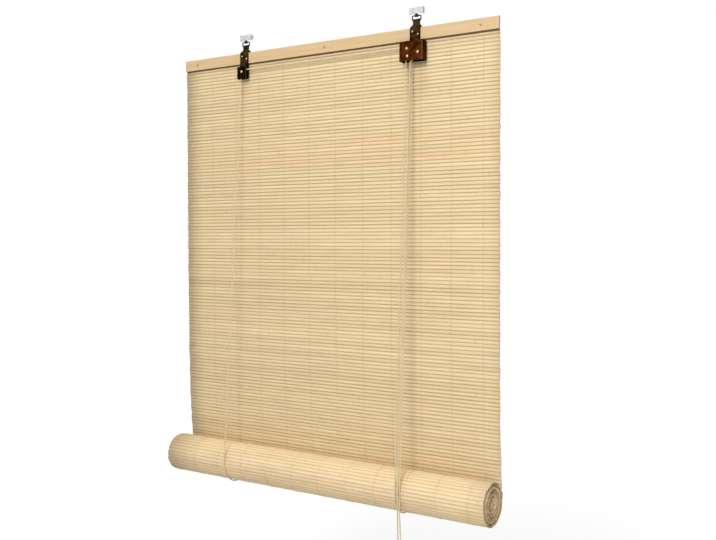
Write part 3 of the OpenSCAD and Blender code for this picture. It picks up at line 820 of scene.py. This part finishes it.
# Warp threads of the outer turn: the slats that they pass, and how far they stand out from the slats
THREAD_SLATS = range(2, 34)
THREAD_OUT = 0.25
THREAD_IN = -0.9
THREAD_BETWEEN = -0.7
THREAD_PASS_SHARES = (0.2, 0.5, 0.8)


def wound(along, inset):
    """Point of the winding at a length along it, inset towards the core, in Y and Z."""
    radius = math.sqrt(max(0.0, ROLL_R ** 2 - TURN_PITCH * along / math.pi))
    turn = (ROLL_R - radius) * 2 * math.pi / TURN_PITCH
    reach = ROLL_R - TURN_PITCH * turn / (2 * math.pi)
    y = ROLL_Y + (reach * ROLL_WIDE_SHARE - inset) * math.cos(turn)
    z = ROLL_Z - (reach - inset) * math.sin(turn)
    return y, z


def streak_at(centre, bold):
    """Paleness of a wound slat's cut end, from its turn of the winding: its own tone with painted light and
    painted shade.
    """
    reach = math.hypot((centre[0] - ROLL_Y) / ROLL_WIDE_SHARE, centre[1] - ROLL_Z)
    turns = (ROLL_R - reach) / TURN_PITCH
    return STREAK_MIDDLE * (1 + bold * math.cos(2 * math.pi * turns / STREAK_TURNS))


def make_roll():
    build = Builder()
    drift = 0.0
    bold = BOLD_START
    for i in range(ROLLED_SLATS):
        a = wound(i * SLAT_PITCH, SLAT_T / 2)
        b = wound((i + 1) * SLAT_PITCH, SLAT_T / 2)
        size = math.hypot(b[0] - a[0], b[1] - a[1])
        lie = ((a[0] - b[0]) / size, (a[1] - b[1]) / size)
        centre = ((a[0] + b[0]) / 2, (a[1] + b[1]) / 2)
        drift = DRIFT_KEPT * drift + rng.uniform(-DRIFT_STEP, DRIFT_STEP)
        left, right = slat_ends()
        shade, _, phase = slat_tint()
        bold = BOLD_MIDDLE + BOLD_KEPT * (bold - BOLD_MIDDLE) + rng.uniform(-BOLD_STEP, BOLD_STEP)
        bold = min(BOLD_MOST, max(BOLD_LEAST, bold))
        half_t = SLAT_T / 2 * rng.uniform(*ROLL_THICK_SHARES)
        add_slat(build, (left + drift, right + drift), ROLL_STATIONS, size / 2 * ROLL_OVERLAP_SHARE, half_t,
                 centre, lie, bow_of(i, ROLL_BOW, ROLL_BOW), (shade, streak_at(centre, bold), phase))
    roll = build.make("roll_slats", ROLLED_BAMBOO, "roll", "bamboo")
    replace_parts(roll, "mat_roll")


def make_roll_threads():
    build = Builder()
    for phase, x in thread_lines():
        path = []
        for i in THREAD_SLATS:
            reach = THREAD_OUT if (i + phase) % 2 else THREAD_IN
            for down, out in [(0.0, THREAD_BETWEEN)] + [(share, reach) for share in THREAD_PASS_SHARES]:
                y, z = wound((i + down) * SLAT_PITCH, -out)
                path.append(Vector((x, y, z)))
        build.loft(tube_rings(path, THREAD_R, THREAD_SIDES))
    build.make("roll_threads", ROLL_THREAD_CLOTH, "roll", "bamboo")


make_mat()
make_threads()
make_roll()
make_roll_threads()


# Studio: pale floor, white surround and soft lights, in metres and watts

WHITE = (1.0, 1.0, 1.0, 1)
FLOOR_GREY = (0.7, 0.7, 0.7, 1)
FLOOR_HALF = 6.0
FLOOR_Z = -1.62
SURROUND_LIGHT = 0.34
SURROUND_SEEN = 1.0
# What the camera sees of the floor beside its lit colour: less near the middle, where the lamps add to it
NEAR = 0.8
FAR = 3.2
NEAR_GLOW = 0.5
FAR_GLOW = 0.78


def seen_directly(nodes):
    """One for rays that the camera sees, straight or in a mirror or glass."""
    path = nodes.add("ShaderNodeLightPath")
    seen = path.outputs["Is Camera Ray"]
    for kind in ("Is Glossy Ray", "Is Transmission Ray"):
        seen = nodes.math("MAXIMUM", seen, path.outputs[kind])
    return seen


def floor_material():
    """Pale surface that keeps shadows, and glows for the camera until it is white where no shadow falls."""
    material = bpy.data.materials.new("floor_white")
    material.use_nodes = True
    nodes = Nodes(material.node_tree)
    nodes.tree.nodes.clear()
    away = nodes.add("ShaderNodeVectorMath", {"operation": "DISTANCE"})
    nodes.put(away.inputs[0], nodes.here())
    nodes.put(away.inputs[1], (0, 0, FLOOR_Z))
    level = nodes.span(away.outputs["Value"], between=(NEAR, FAR), to=(NEAR_GLOW, FAR_GLOW))
    strength = nodes.math("MULTIPLY", level, seen_directly(nodes))
    both = nodes.add("ShaderNodeAddShader")
    nodes.put(both.inputs[0], nodes.add("ShaderNodeBsdfDiffuse", Color=FLOOR_GREY).outputs[0])
    nodes.put(both.inputs[1], nodes.add("ShaderNodeEmission", Color=WHITE, Strength=strength).outputs[0])
    nodes.add("ShaderNodeOutputMaterial", Surface=both.outputs[0])
    return material


def make_floor():
    corners = [(-1, -1), (1, -1), (1, 1), (-1, 1)]
    mesh = bpy.data.meshes.new("floor")
    mesh.from_pydata([(x * FLOOR_HALF, y * FLOOR_HALF, FLOOR_Z) for x, y in corners], [], [(0, 1, 2, 3)])
    mesh.materials.append(floor_material())
    floor = bpy.data.objects.new("floor", mesh)
    bpy.context.collection.objects.link(floor)


def make_world():
    """White to the camera, and a softer light on the object."""
    world = bpy.data.worlds.new("surround")
    world.use_nodes = True
    bpy.context.scene.world = world
    nodes = Nodes(world.node_tree)
    nodes.tree.nodes.clear()
    mixed = nodes.add("ShaderNodeMixShader")
    nodes.put(mixed.inputs[0], seen_directly(nodes))
    for at, strength in ((1, SURROUND_LIGHT), (2, SURROUND_SEEN)):
        light = nodes.add("ShaderNodeBackground", Color=WHITE, Strength=strength)
        nodes.put(mixed.inputs[at], light.outputs[0])
    nodes.add("ShaderNodeOutputWorld", Surface=mixed.outputs[0])


def add_light(name, place, aim, size, power):
    data = bpy.data.lights.new(name, "AREA")
    data.shape = "DISK"
    data.size = size
    data.energy = power
    light = bpy.data.objects.new(name, data)
    light.location = place
    light.rotation_euler = (Vector(aim) - Vector(place)).to_track_quat("-Z", "Y").to_euler()
    bpy.context.collection.objects.link(light)


make_floor()
make_world()
add_light("key", place=(0.6, -2.8, 0.95), aim=(0, -0.02, -0.5), size=0.8, power=50)
add_light("fill", place=(1.25, -1.9, -1.0), aim=(0.25, -0.05, -0.9), size=1.2, power=8)
add_light("top", place=(0.15, -0.75, 2.2), aim=(0.05, -0.05, -0.9), size=1.2, power=36)
add_light("side", place=(2.3, -0.35, -0.8), aim=(0.4, -0.02, -0.97), size=0.6, power=3.5)

bpy.context.scene.view_settings.view_transform = "Standard"
